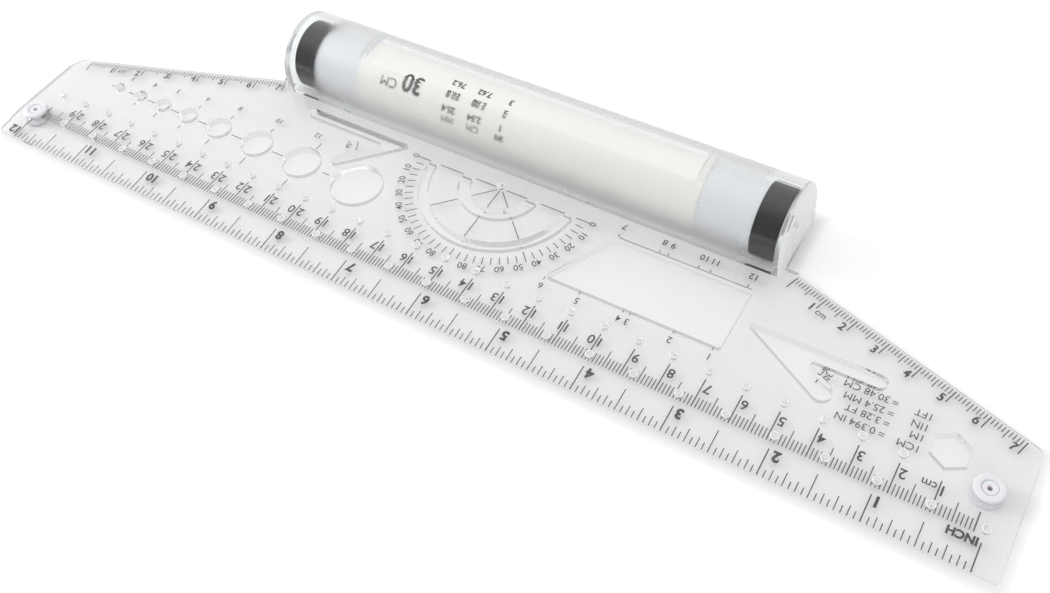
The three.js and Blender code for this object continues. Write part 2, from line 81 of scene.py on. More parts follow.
# The two corners of the plate's slanted edge on the right, and the protractor's centre.
SLANT_OUTER = (158.5, row(37.9))
SLANT_INNER = (88.0, row(60.7))
PROTRACTOR = (0.4, row(51.7))


# Settings


class PrintSettings(bpy.types.PropertyGroup):
    """Sizes of the black print under the plate and on the roller's label."""

    fine_line: FloatProperty(
        name="Fine line", description="Width of the smallest division lines",
        default=0.26 * MM, min=0, unit="LENGTH", precision=5)
    bold_line: FloatProperty(
        name="Bold line", description="Width of the inch and centimetre lines",
        default=0.32 * MM, min=0, unit="LENGTH", precision=5)
    inch_numeral: FloatProperty(
        name="Inch numeral", description="Height of the numerals on the inch scale",
        default=3.1 * MM, min=0, unit="LENGTH", precision=5)
    centimetre_numeral: FloatProperty(
        name="Centimetre numeral", description="Height of the numerals on the centimetre scale",
        default=2.8 * MM, min=0, unit="LENGTH", precision=5)
    slant_numeral: FloatProperty(
        name="Slant numeral", description="Height of the numerals on the slanted scales",
        default=2.4 * MM, min=0, unit="LENGTH", precision=5)
    small_letter: FloatProperty(
        name="Small letter", description="Height of the small letters and numerals",
        default=2.0 * MM, min=0, unit="LENGTH", precision=5)
    film: FloatProperty(
        name="Ink thickness", description="How thick the printed ink stands",
        default=0.03 * MM, min=0, unit="LENGTH", precision=5)
    film_gap: FloatProperty(
        name="Ink gap", description="Gap that keeps the ink off the surface it lies on",
        default=0.01 * MM, min=0, unit="LENGTH", precision=5)
    ink: FloatVectorProperty(
        name="Ink", description="Colour of the print", subtype="COLOR", size=3,
        default=(0.012, 0.012, 0.013), min=0, max=1)


class PlasticSettings(bpy.types.PropertyGroup):
    """Colours and gloss of the clear plate and hood."""

    plate_tint: FloatVectorProperty(
        name="Plate tint", description="Colour that the clear plate gives what lies under it",
        subtype="COLOR", size=3, default=(0.97, 0.975, 0.977), min=0, max=1)
    hood_tint: FloatVectorProperty(
        name="Hood tint", description="Colour that the clear hood gives what lies under it",
        subtype="COLOR", size=3, default=(0.975, 0.985, 0.99), min=0, max=1)
    plate_roughness: FloatProperty(
        name="Plate roughness", description="Haze of the polished plate",
        default=0.02, min=0, max=1, subtype="FACTOR")
    hood_roughness: FloatProperty(
        name="Hood roughness", description="Haze of the hood's satin sides",
        default=0.28, min=0, max=1, subtype="FACTOR")
    window_roughness: FloatProperty(
        name="Window roughness", description="Haze of the flat window on top of the hood",
        default=0.03, min=0, max=1, subtype="FACTOR")
    end_polish: FloatProperty(
        name="End polish", description="Polish of the hood's ends as a share of the window's",
        default=0.72, min=0, max=1, subtype="FACTOR")
    # Painted shade: the share of its brightness that the hood's colour keeps where it is satin, so its sides
    # show darker than its polished window.
    haze_tint: FloatProperty(
        name="Haze tint", description="Share of its brightness that the hood's colour keeps where satin",
        default=0.95, min=0, max=1, subtype="FACTOR")
    # Painted glow: brightness of the emission given to rays caught inside the clear plastic, which lights up
    # its edges.
    gathered: FloatProperty(
        name="Gathered light",
        description="Brightness of light caught inside the clear plastic, as at its edges",
        default=0.8, min=0)
    # Painted highlight: the modelled lips round the pin holes are made near-white and mostly opaque to stand
    # for the bright rings that light makes there.
    rim: FloatVectorProperty(
        name="Rim", description="Colour of the frosted rims of the pin holes", subtype="COLOR", size=3,
        default=(0.95, 0.95, 0.95), min=0, max=1)
    rim_cover: FloatProperty(
        name="Rim cover", description="How far the frosted rims hide what lies under them",
        default=0.9, min=0, max=1, subtype="FACTOR")
    edge_round: FloatProperty(
        name="Edge round", description="Radius that the light shows on the edges of the clear mouldings",
        default=0.25 * MM, min=0, unit="LENGTH", precision=5)
    passed: FloatProperty(
        name="Light passed", description="Share of the light that each clear surface lets through",
        default=0.965, min=0, max=1, subtype="FACTOR")


class RollerSettings(bpy.types.PropertyGroup):
    """Colours of the roller, its label, tyres and bearings and of the pivot bushes."""

    barrel: FloatVectorProperty(
        name="Barrel", description="Colour of the roller's barrel", subtype="COLOR", size=3,
        default=(0.82, 0.835, 0.86), min=0, max=1)
    label: FloatVectorProperty(
        name="Label", description="Colour of the label round the roller", subtype="COLOR", size=3,
        default=(0.93, 0.93, 0.895), min=0, max=1)
    tyre: FloatVectorProperty(
        name="Tyre", description="Colour of the rubber tyres", subtype="COLOR", size=3,
        default=(0.010, 0.012, 0.013), min=0, max=1)
    plug: FloatVectorProperty(
        name="Plug", description="Colour of the roller's end plugs", subtype="COLOR", size=3,
        default=(0.55, 0.57, 0.6), min=0, max=1)
    pin: FloatVectorProperty(
        name="Pin", description="Colour of the steel axle pins", subtype="COLOR", size=3,
        default=(0.6, 0.61, 0.63), min=0, max=1)
    bush: FloatVectorProperty(
        name="Bush", description="Colour of the white pivot bushes and bearings", subtype="COLOR", size=3,
        default=(0.79, 0.79, 0.82), min=0, max=1)


class StudioSettings(bpy.types.PropertyGroup):
    """The floor, lamps and camera."""

    floor_side: FloatProperty(
        name="Floor side", description="Length of the square floor's side",
        default=6.0, min=0, unit="LENGTH")
    floor_glow: FloatProperty(
        name="Floor glow", description="Light added to the floor where it is seen, so that it shows white",
        default=0.24, min=0)
    # Painted shadow: the floor's glow under the ruler's outline, well below its glow elsewhere.
    floor_glow_under: FloatProperty(
        name="Floor glow under", description="The same light on the floor straight under the ruler",
        default=0.02, min=0)
    # Width of the painted shadow's soft edge round the ruler's outline.
    floor_fade: FloatProperty(
        name="Floor fade", description="Distance from the ruler over which the floor turns white",
        default=5 * MM, min=0, unit="LENGTH", precision=5)
    sky_low: FloatProperty(
        name="Sky low", description="Strength of the light from the sky's far side", default=0.6, min=0)
    sky_mirrored: FloatProperty(
        name="Sky mirrored", description="Strength of the far side of the sky where gloss mirrors it",
        default=0.22, min=0)
    sky_high: FloatProperty(
        name="Sky high", description="Strength of the light from the sky's bright side", default=1.05, min=0)
    key: FloatProperty(
        name="Key lamp", description="Power of the soft lamp at the side", default=3.4, min=0,
        unit="POWER")
    fill: FloatProperty(
        name="Fill lamp", description="Power of the wide lamp in front", default=1.3, min=0,
        unit="POWER")
    lens: FloatProperty(
        name="Lens", description="Focal length on a sensor 36 mm wide", default=37.58, min=1)


# Materials

# Mirrored turns inside clear plastic after which a ray counts as caught and ends on the painted glow: more
# than two.
TURNS_INSIDE = 2.5
# Widths of the steps from satin to polish, at the edges of the hood's window and near its ends.
WINDOW_STEP = 0.25 * MM
END_STEP = 2 * MM


def add(tree, kind, inputs=None, **settings):
    """A new node with its settings, and its inputs set to values or joined to sockets."""
    made = tree.nodes.new(kind)
    for name, value in settings.items():
        setattr(made, name, value)
    for name, value in (inputs or {}).items():
        if isinstance(value, bpy.types.NodeSocket):
            tree.links.new(value, made.inputs[name])
        else:
            made.inputs[name].default_value = value
    return made


def maths(tree, operation, *values, clamp=False):
    """The result of an operation on values and sockets, as a socket."""
    return add(tree, "ShaderNodeMath", dict(enumerate(values)), operation=operation,
               use_clamp=clamp).outputs[0]


def ramp(tree, value, start, end, low=0.0, high=1.0, kind="LINEAR"):
    """A socket that goes from low to high while a value goes from start to end."""
    return add(tree, "ShaderNodeMapRange",
               {"Value": value, "From Min": start, "From Max": end, "To Min": low, "To Max": high},
               interpolation_type=kind).outputs[0]


def noise(tree, place, scale, detail):
    """Soft clouds of a scale, as a socket."""
    return add(tree, "ShaderNodeTexNoise",
               {"Vector": place, "Scale": scale, "Detail": detail}).outputs[0]


def group(name, inputs, outputs):
    """A new shader node group with its sockets: the tree, its input node and its output node."""
    tree = bpy.data.node_groups.new(name, "ShaderNodeTree")
    kinds = {"colour": "NodeSocketColor", "value": "NodeSocketFloat"}
    for title, (kind, default) in inputs.items():
        socket = tree.interface.new_socket(title, in_out="INPUT", socket_type=kinds[kind])
        socket.default_value = default
    for title, kind in outputs.items():
        tree.interface.new_socket(title, in_out="OUTPUT", socket_type=kinds[kind])
    return tree, tree.nodes.new("NodeGroupInput"), tree.nodes.new("NodeGroupOutput")


def handled_skin():
    """Group: the uneven gloss, hairline scuffs and shallow waviness of a handled moulding."""
    known = bpy.data.node_groups.get("handled_skin")
    if known:
        return known
    tree, given, out = group(
        "handled_skin",
        {"Roughness": ("value", 0.3), "Spread": ("value", 0.1), "Wave Scale": ("value", 90.0),
         "Scuffs": ("value", 0.3), "Scuff Scale": ("value", 700.0)},
        {"Roughness": "value", "Height": "value"})
    place = add(tree, "ShaderNodeTexCoord").outputs["Object"]
    clouds = noise(tree, place, given.outputs["Wave Scale"], detail=3.0)
    stretched = add(tree, "ShaderNodeMapping", {"Vector": place, "Rotation": (0.0, 0.0, 0.5),
                                                "Scale": (0.06, 1.0, 0.6)})
    lines = noise(tree, stretched.outputs[0], given.outputs["Scuff Scale"], detail=2.0)
    faint, deep = 0.62, 0.76
    scuffed = maths(tree, "MULTIPLY", ramp(tree, lines, faint, deep), given.outputs["Scuffs"])
    centred = maths(tree, "SUBTRACT", clouds, 0.5)
    spread = maths(tree, "MULTIPLY_ADD", centred, given.outputs["Spread"], given.outputs["Roughness"])
    rough = maths(tree, "MULTIPLY_ADD", scuffed, given.outputs["Spread"], spread, clamp=True)
    tree.links.new(rough, out.inputs["Roughness"])
    tree.links.new(maths(tree, "SUBTRACT", clouds, scuffed), out.inputs["Height"])
    return tree


def uneven_colour():
    """Group: a colour that drifts a little towards another one, with fine specks of it."""
    known = bpy.data.node_groups.get("uneven_colour")
    if known:
        return known
    tree, given, out = group(
        "uneven_colour",
        {"Colour": ("colour", (1, 1, 1, 1)), "Other": ("colour", (1, 1, 1, 1)),
         "Drift": ("value", 0.5), "Scale": ("value", 60.0), "Specks": ("value", 0.3),
         "Speck Scale": ("value", 2500.0)},
        {"Colour": "colour"})
    place = add(tree, "ShaderNodeTexCoord").outputs["Object"]
    clouds = noise(tree, place, given.outputs["Scale"], detail=4.0)
    share = maths(tree, "MULTIPLY", clouds, given.outputs["Drift"])
    dots = noise(tree, place, given.outputs["Speck Scale"], detail=1.0)
    faint, full = 0.64, 0.74
    specks = maths(tree, "MULTIPLY", ramp(tree, dots, faint, full), given.outputs["Specks"])
    mixed = add(tree, "ShaderNodeMix",
                {"Factor": maths(tree, "ADD", share, specks, clamp=True), 6: given.outputs["Colour"],
                 7: given.outputs["Other"]}, data_type="RGBA")
    tree.links.new(mixed.outputs[2], out.inputs["Colour"])
    return tree


def empty_material(name):
    """A new material with nothing but its output: the material, its tree and the output node."""
    made = bpy.data.materials.new(name)
    made.use_nodes = True
    made.node_tree.nodes.clear()
    return made, made.node_tree, made.node_tree.nodes.new("ShaderNodeOutputMaterial")


def rgba(colour):
    """A colour with its alpha."""
    return (*colour, 1.0)


def shaded(colour, share):
    """A colour at a share of its brightness."""
    return [channel * share for channel in colour]


def solid_plastic(name, colour, other, roughness, spread, drift=0.5, specks=0.2, speck_scale=2500.0,
                  wave_scale=90.0, scuffs=0.3, depth=0.02 * MM, bump=0.15, **shader):
    """A material for an opaque moulding, label or rubber."""
    made, tree, out = empty_material(name)
    skin = add(tree, "ShaderNodeGroup",
               {"Roughness": roughness, "Spread": spread, "Wave Scale": wave_scale, "Scuffs": scuffs},
               node_tree=handled_skin())
    paint = add(tree, "ShaderNodeGroup",
                {"Colour": rgba(colour), "Other": rgba(other), "Drift": drift, "Specks": specks,
                 "Speck Scale": speck_scale}, node_tree=uneven_colour())
    relief = add(tree, "ShaderNodeBump",
                 {"Height": skin.outputs["Height"], "Strength": bump, "Distance": depth})
    surface = add(tree, "ShaderNodeBsdfPrincipled",
                  {"Base Color": paint.outputs["Colour"], "Roughness": skin.outputs["Roughness"],
                   "Normal": relief.outputs[0], **shader})
    tree.links.new(surface.outputs[0], out.inputs["Surface"])
    return made


def clear_plastic(name, tint, roughness, spread, looks, window=None):
    """A material for a clear moulding, which lets light through to what it covers.

    Light that turns back and forth inside it is not followed further but ends on a painted glow, pale like
    the edges of clear sheet. A window is two corners of a box and a distance along the moulding, and stays
    polished in and beyond them."""
    made, tree, out = empty_material(name)
    haze = window_haze(tree, roughness, looks, *window) if window else roughness
    skin = add(tree, "ShaderNodeGroup",
               {"Roughness": haze, "Spread": spread, "Wave Scale": 60.0, "Scuffs": 0.35,
                "Scuff Scale": 500.0}, node_tree=handled_skin())
    softened = add(tree, "ShaderNodeBevel", {"Radius": looks.edge_round}, samples=4)
    relief = add(tree, "ShaderNodeBump",
                 {"Height": skin.outputs["Height"], "Strength": 0.03, "Distance": 0.05 * MM,
                  "Normal": softened.outputs[0]})
    body = rgba(tint)
    if window:
        # Painted shade: the hood's colour darkens where it is satin, on its sides, and stays full in the
        # polished window.
        satin_shade_share = ramp(tree, skin.outputs["Roughness"], looks.window_roughness, roughness,
                     low=1.0, high=looks.haze_tint)
        body = add(tree, "ShaderNodeVectorMath", {0: tint, "Scale": satin_shade_share}, operation="SCALE").outputs[0]
    surface = add(tree, "ShaderNodeBsdfPrincipled",
                  {"Base Color": body, "Roughness": skin.outputs["Roughness"], "IOR": 1.49,
                   "Transmission Weight": 1.0, "Normal": relief.outputs[0]})
    rays = add(tree, "ShaderNodeLightPath")
    caught = maths(tree, "GREATER_THAN", rays.outputs["Glossy Depth"], TURNS_INSIDE)
    # Painted glow: rays caught inside the plastic end on this emission instead of being followed further.
    gathered = add(tree, "ShaderNodeEmission", {"Color": rgba(tint), "Strength": looks.gathered})
    moulded = add(tree, "ShaderNodeMixShader", {0: caught, 1: surface.outputs[0], 2: gathered.outputs[0]})
    lighting = maths(tree, "MAXIMUM", rays.outputs["Is Shadow Ray"], rays.outputs["Is Diffuse Ray"])
    open_way = add(tree, "ShaderNodeBsdfTransparent", {"Color": rgba([looks.passed] * 3)})
    mixed = add(tree, "ShaderNodeMixShader", {0: lighting, 1: moulded.outputs[0], 2: open_way.outputs[0]})
    tree.links.new(mixed.outputs[0], out.inputs["Surface"])
    return made


def window_haze(tree, satin, looks, low, high, ends):
    """A socket with the hood's haze: satin, but polished in the flat window's box and beyond its ends."""
    place = add(tree, "ShaderNodeTexCoord").outputs["Object"]
    parts = add(tree, "ShaderNodeSeparateXYZ", {0: place})
    inside = None
    for axis in range(3):
        for sign, bound in ((1, low[axis]), (-1, high[axis])):
            edge = maths(tree, "SUBTRACT", parts.outputs[axis], bound)
            step = maths(tree, "MULTIPLY", edge, sign / WINDOW_STEP, clamp=True)
            inside = step if inside is None else maths(tree, "MULTIPLY", inside, step)
    across = maths(tree, "ABSOLUTE", parts.outputs[0])
    beyond = ramp(tree, across, ends, ends + END_STEP, high=looks.end_polish)
    clear = maths(tree, "MAXIMUM", inside, beyond)
    return ramp(tree, clear, 0.0, 1.0, low=satin, high=looks.window_roughness)


def black_ink():
    """The one black ink of all the print: dense, a little grey where it is thin."""
    known = bpy.data.materials.get("black_print")
    if known:
        return known
    colour = bpy.context.scene.ruler_print.ink
    where_thin = 6
    return solid_plastic(
        "black_print", colour, other=shaded(colour, where_thin), roughness=0.5, spread=0.15, drift=0.25,
        specks=0.25, speck_scale=5000.0, wave_scale=400.0, scuffs=0.1)


def dress(node, material):
    """Gives a CAD node its material."""
    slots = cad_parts[node].data.materials
    slots.clear()
    slots.append(material)


# Print


class Print:
    """Gathers the flat shapes of one print, in millimetres seen from above, and lays them as ink.

    Points closer than the weld are one. The heights of the capitals are kept for each weight of letters."""

    weld = 1e-5
    cap_heights = {}

    def __init__(self):
        self.mesh = bmesh.new()

    def quad(self, corners):
        """One flat four-sided patch."""
        self.mesh.faces.new([self.mesh.verts.new((x, y, 0.0)) for x, y in corners])

    def line(self, x0, y0, x1, y1, width):
        """A straight line of a width."""
        along = Vector((x1 - x0, y1 - y0)).normalized()
        side = Vector((-along.y, along.x)) * (width / 2)
        self.quad([(x0 - side.x, y0 - side.y), (x1 - side.x, y1 - side.y),
                   (x1 + side.x, y1 + side.y), (x0 + side.x, y0 + side.y)])

    def column(self, x, near, far, width):
        """A line across the ruler between two rows."""
        self.line(x, row(near), x, row(far), width)

    def spoke(self, centre, angle, inner, outer, width):
        """A line out from a centre between two radii."""
        ux, uy = math.cos(angle), math.sin(angle)
        self.line(centre[0] + inner * ux, centre[1] + inner * uy,
                  centre[0] + outer * ux, centre[1] + outer * uy, width)

    def word(self, text, x, y, height, turn=0.0, align=0.5, weight=0.0):
        """Letters of a height: y is the middle of the line, x its left, middle or right by align."""
        curve = bpy.data.curves.new("word", "FONT")
        curve.body, curve.size, curve.offset, curve.resolution_u = text, 1.0, weight, 3
        letter = bpy.data.objects.new("word", curve)
        bpy.context.scene.collection.objects.link(letter)
        bpy.context.view_layer.update()
        shape = bpy.data.meshes.new_from_object(letter.evaluated_get(bpy.context.evaluated_depsgraph_get()))
        bpy.data.objects.remove(letter)
        bpy.data.curves.remove(curve)
        if weight not in self.cap_heights:
            self.cap_heights[weight] = self.cap_height(weight)
        cap = self.cap_heights[weight]
        low = min(v.co.x for v in shape.vertices)
        high = max(v.co.x for v in shape.vertices)
        scale = height / cap
        start = -(high - low) * scale * align
        cos, sin = math.cos(turn), math.sin(turn)
        for vertex in shape.vertices:
            u = start + (vertex.co.x - low) * scale
            v = (vertex.co.y - cap / 2) * scale
            vertex.co = (x + u * cos - v * sin, y + u * sin + v * cos, 0.0)
        self.mesh.from_mesh(shape)
        bpy.data.meshes.remove(shape)

    @staticmethod
    def cap_height(weight):
        """The height of a capital letter at size 1."""
        curve = bpy.data.curves.new("cap", "FONT")
        curve.body, curve.size, curve.offset = "H", 1.0, weight
        letter = bpy.data.objects.new("cap", curve)
        bpy.context.scene.collection.objects.link(letter)
        bpy.context.view_layer.update()
        tall = letter.dimensions.y
        bpy.data.objects.remove(letter)
        bpy.data.curves.remove(curve)
        return tall

    def cut_in_rows(self, step):
        """Cuts the shapes into narrow rows, so that they can bend round the roller."""
        depths = [vertex.co.y for vertex in self.mesh.verts]
        cut = min(depths) + step
        while cut < max(depths):
            parts = [*self.mesh.verts, *self.mesh.edges, *self.mesh.faces]
            bmesh.ops.bisect_plane(self.mesh, geom=parts, plane_co=(0, cut, 0), plane_no=(0, 1, 0))
            cut += step

    def lay(self, name, place, body, slot):
        """Turns the flat shapes into a film of ink, each point placed by a function."""
        sizes = bpy.context.scene.ruler_print
        bmesh.ops.remove_doubles(self.mesh, verts=self.mesh.verts, dist=self.weld)
        flat = list(self.mesh.faces)
        for face in flat:
            if face.normal.z < 0:
                face.normal_flip()
        raised = bmesh.ops.extrude_face_region(self.mesh, geom=flat, use_keep_orig=True)
        for item in raised["geom"]:
            if isinstance(item, bmesh.types.BMVert):
                item.co.z += sizes.film / MM
        for vertex in self.mesh.verts:
            vertex.co = place(vertex.co) * MM
        bmesh.ops.recalc_face_normals(self.mesh, faces=self.mesh.faces)
        data = bpy.data.meshes.new(name)
        self.mesh.to_mesh(data)
        self.mesh.free()
        data.materials.append(black_ink())
        made = bpy.data.objects.new(name, data)
        bpy.context.scene.collection.objects.link(made)
        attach(made, body)


def under_plate(point):
    """Where a point of flat print lies under the plate."""
    sizes = bpy.context.scene.ruler_print
    return Vector((point.x, point.y, UNDERSIDE_Z - (sizes.film + sizes.film_gap) / MM + point.z))


def round_sleeve(point):
    """Where a point of flat print lies on the roller's label: its Y runs round the roller from the top."""
    lift = SLEEVE_RADIUS + bpy.context.scene.ruler_print.film_gap / MM + point.z
    angle = point.y / SLEEVE_RADIUS
    return Vector((point.x, AXIS_Y + lift * math.sin(angle), AXIS_Z + lift * math.cos(angle)))


def plate_print(made, name):
    """Lays a finished print under the plate."""
    made.lay(name, under_plate, "ruler", "clear_plate")


class PrintInchScale(bpy.types.Operator):
    """Prints the twelve inch scale in sixteenths along the straight edge"""

    bl_idname = "ruler.print_inch_scale"
    bl_label = "Inch Scale"

    def execute(self, context):
        sizes = context.scene.ruler_print
        made = Print()
        inches, finest = 12, 16
        start = 0.7
        ends = {1: 8.5, 2: 7.5, 4: 4.6, 8: 3.6, 16: 2.8}
        for step in range(inches * finest + 1):
            part = next(part for part in ends if step % (finest // part) == 0)
            width = sizes.bold_line if part == 1 else sizes.fine_line
            made.column(INCH_ZERO_X + step * INCH / finest, start, ends[part], width / MM)
        height = sizes.inch_numeral / MM
        before_line, numerals = 1.3, row(6.95)
        for inch in range(1, inches):
            made.word(str(inch), INCH_ZERO_X + inch * INCH - before_line, numerals, height, align=1.0,
                      weight=BOLD_SHARE)
        last_x, last_y = 154.75, row(3.0)
        made.word(str(inches), last_x, last_y, height, weight=BOLD_SHARE)
        unit_x, unit_y, unit_height = -148.1, row(8.15), 2.3
        made.word("INCH", unit_x, unit_y, unit_height, weight=BOLD_SHARE)
        plate_print(made, "inch_scale")
        return {"FINISHED"}


class PrintCentimetreScale(bpy.types.Operator):
    """Prints the thirty centimetre scale in millimetres behind the inch scale"""

    bl_idname = "ruler.print_centimetre_scale"
    bl_label = "Centimetre Scale"

    def execute(self, context):
        sizes = context.scene.ruler_print
        made = Print()
        length = 300
        start, millimetre, half, whole, end_mark = 10.3, 13.4, 15.6, 19.2, 15.7
        for step in range(length + 1):
            far = millimetre if step % 5 else half if step % 10 else whole
            if step in (0, length):
                far = end_mark
            width = sizes.fine_line if step % 10 else sizes.bold_line
            made.column(CM_ZERO_X + step, start, far, width / MM)
        height = sizes.centimetre_numeral / MM
        numerals = row(16.6)
        beside_line, each_side = 0.6, 0.65
        for number in range(1, 30):
            x = CM_ZERO_X + number * CENTIMETRE
            if number < 10:
                made.word(str(number), x - beside_line, numerals, height, align=1.0, weight=BOOK_SHARE)
            else:
                tens, ones = str(number)
                made.word(tens, x - each_side, numerals, height, align=1.0, weight=BOOK_SHARE)
                made.word(ones, x + each_side, numerals, height, align=0.0, weight=BOOK_SHARE)
        unit_y, unit_height = row(17.0), 2.2
        made.word("cm", CM_ZERO_X + CENTIMETRE + beside_line, unit_y, unit_height, align=0.0,
                  weight=UNIT_SHARE)
        plate_print(made, "centimetre_scale")
        return {"FINISHED"}


class PrintSlantedScales(bpy.types.Operator):
    """Prints the seven centimetre scales along the two slanted edges"""

    bl_idname = "ruler.print_slanted_scales"
    bl_label = "Slanted Scales"

    def execute(self, context):
        sizes = context.scene.ruler_print
        made = Print()
        length, inside, from_outer_corner, unit_height = 70, 0.5, 4.1, 1.9
        line_lengths = {1: 2.2, 5: 3.5, 10: 4.5}
        numerals = {
            -1: ((1, -94.7, 53.0), (2, -104.0, 50.5), (3, -113.6, 47.5), (4, -123.2, 44.3),
                 (5, -132.7, 41.5), (6, -142.0, 39.0), (7, -151.8, 36.0)),
            1: ((7, 88.5, 57.0), (6, 98.0, 53.5), (5, 107.5, 50.5), (4, 117.0, 47.5),
                (3, 126.0, 44.5), (2, 136.0, 41.0), (1, 144.9, 38.3)),
        }
        units = {-1: (-97.8, 51.7), 1: (141.4, 39.6)}
        for side in (-1, 1):
            outer = Vector((side * SLANT_OUTER[0], SLANT_OUTER[1]))
            inner = Vector((side * SLANT_INNER[0], SLANT_INNER[1]))
            along = (inner - outer).normalized()
            inwards = Vector((along.y, -along.x)) * side
            turn = math.atan2(-inwards.y, -inwards.x) - math.pi / 2
            for step in range(length + 1):
                spot = outer + along * (from_outer_corner + length - step)
                kind = 10 if step % 10 == 0 else 5 if step % 5 == 0 else 1
                width = sizes.bold_line if kind == 10 else sizes.fine_line
                first = spot + inwards * inside
                last = spot + inwards * (inside + line_lengths[kind])
                made.line(first.x, first.y, last.x, last.y, width / MM)
            for number, x, depth in numerals[side]:
                made.word(str(number), x, row(depth), sizes.slant_numeral / MM, turn=turn,
                          weight=HALF_BOLD_SHARE)
            x, depth = units[side]
            made.word("cm", x, row(depth), unit_height, turn=turn, weight=SMALL_UNIT_SHARE)
        plate_print(made, "slanted_scales")
        return {"FINISHED"}


class PrintProtractor(bpy.types.Operator):
    """Prints the protractor's rays, division marks and numerals"""

    bl_idname = "ruler.print_protractor"
    bl_label = "Protractor"

    def execute(self, context):
        sizes = context.scene.ruler_print
        made = Print()
        x, y = PROTRACTOR
        fine = sizes.fine_line / MM
        level = ((1.8, 8.8), (13.3, 21.3), (25.0, 29.5))
        slanted = ((1.3, 8.8), (13.3, 21.5), (25.3, 29.0))
        upright = ((1.1, 9.7), (13.1, 22.0), (25.7, 29.5))
        rays = {0: level, 45: slanted, 90: upright, 135: slanted, 180: level}
        for degrees, pieces in rays.items():
            for inner, outer in pieces:
                made.spoke(PROTRACTOR, math.radians(degrees), inner, outer, fine)
        mark_inner, mark_outer, numeral_radius = 26.2, 28.7, 30.4
        for degrees in range(5, 180, 5):
            if degrees not in rays:
                made.spoke(PROTRACTOR, math.radians(degrees), mark_inner, mark_outer, fine)
        for degrees in range(0, 190, 10):
            if degrees == 90:
                continue
            angle = math.radians(degrees)
            made.word(str(min(degrees, 180 - degrees)), x + numeral_radius * math.cos(angle),
                      y + numeral_radius * math.sin(angle), sizes.small_letter / MM,
                      turn=angle - math.pi / 2, weight=LIGHT_SHARE)
        plate_print(made, "protractor_print")
        return {"FINISHED"}


class PrintWindowMarks(bpy.types.Operator):
    """Prints the numbered marks along the drawing window"""

    bl_idname = "ruler.print_window_marks"
    bl_label = "Window Marks"

    def execute(self, context):
        sizes = context.scene.ruler_print
        made = Print()
        near = {1: -77.7, 2: -66.5, 3: -54.0, 4: -51.6, 5: -39.0, 6: -27.7}
        near_marks = (-77.6, -66.5, -53.7, -51.7, -38.5, -27.4)
        near_numerals, near_start, near_end = row(25.8), 28.1, 29.2
        far = {7: -38.5, 8: -51.1, 9: -53.7, 10: -62.9, 11: -66.4, 12: -77.3}
        far_numerals, far_start, far_end = row(55.0), 50.4, 52.0
        for number, x in near.items():
            made.word(str(number), x, near_numerals, sizes.small_letter / MM, weight=LIGHT_SHARE)
        for x in near_marks:
            made.column(x, near_start, near_end, sizes.fine_line / MM)
        for number, x in far.items():
            made.word(str(number), x, far_numerals, sizes.small_letter / MM, weight=LIGHT_SHARE)
            made.column(x, far_start, far_end, sizes.fine_line / MM)
        plate_print(made, "window_marks")
        return {"FINISHED"}


class PrintCircleMarks(bpy.types.Operator):
    """Prints the sizes of the circles and the cross lines round them"""

    bl_idname = "ruler.print_circle_marks"
    bl_label = "Circle Marks"

    def execute(self, context):
        sizes = context.scene.ruler_print
        made = Print()
        fine = sizes.fine_line / MM
        middle, height = row(32.7), 1.8
        labels = ((12, 63.2, 44.8), (10, 78.3, 44.5), (8, 93.2, 43.3), (6, 105.8, 41.8),
                  (5, 117.2, 40.4), (4, 126.2, 39.3), (3, 135.0, 38.3))
        for number, x, depth in labels:
            made.word(str(number), x, row(depth), height, weight=LIGHT_SHARE)
        columns = ((60.0, 21.5, 25.5), (60.0, 40.0, 42.5), (77.6, 23.8, 26.8), (77.6, 39.3, 41.0),
                   (93.0, 25.5, 27.8), (93.0, 38.0, 39.7), (105.8, 27.0, 28.7), (105.8, 37.3, 38.5),
                   (116.6, 27.5, 29.5), (126.3, 28.8, 30.0))
        for x, near, far in columns:
            made.column(x, near, far, fine)
        rows = ((49.7, 52.3), (67.5, 71.7), (84.0, 88.0), (98.0, 101.8), (109.5, 113.5), (120.0, 123.5),
                (129.5, 132.0), (137.5, 139.5))
        for left, right in rows:
            made.line(left, middle, right, middle, fine)
        plate_print(made, "circle_marks")
        return {"FINISHED"}


class PrintTables(bpy.types.Operator):
    """Prints the conversion table and the marks of the two angle cut-outs"""

    bl_idname = "ruler.print_tables"
    bl_label = "Conversion Table and Angles"

    def execute(self, context):
        sizes = context.scene.ruler_print
        made = Print()
        columns = (-132.5, -124.3, -122.0)
        lines = ((24.6, "1CM", "0.394 IN"), (28.0, "1M", "3.28 FT"), (31.2, "1IN", "25.4 MM"),
                 (34.6, "1FT", "30.48 CM"))
        for depth, left, right in lines:
            for x, text in zip(columns, (left, "=", right)):
                made.word(text, x, row(depth), sizes.small_letter / MM, align=0.0)
        angles = (("30°", -106.3, 33.7, 1.7, 79), ("45°", 52.0, 46.0, 1.6, -85))
        for text, x, depth, height, degrees in angles:
            made.word(text, x, row(depth), height, turn=math.radians(degrees), weight=LIGHT_SHARE)
        strokes = (((-104.2, 31.8), (-105.1, 36.2)), ((-105.1, 36.2), (-105.6, 35.2)),
                   ((-105.1, 36.2), (-104.3, 35.4)), ((48.7, 45.0), (49.3, 46.7)),
                   ((49.3, 46.7), (50.3, 48.5)))
        for (x0, depth0), (x1, depth1) in strokes:
            made.line(x0, row(depth0), x1, row(depth1), sizes.fine_line / MM)
        plate_print(made, "tables_and_angles")
        return {"FINISHED"}


# Plate, hood, roller, tyres and bushes


class DressPlate(bpy.types.Operator):
    """Gives the plate its clear polished plastic"""

    bl_idname = "ruler.dress_plate"
    bl_label = "Clear Plate"

    def execute(self, context):
        looks = context.scene.ruler_plastic
        dress("ruler_plate", clear_plastic(
            "clear_plate", looks.plate_tint, looks.plate_roughness, spread=0.03, looks=looks))
        return {"FINISHED"}


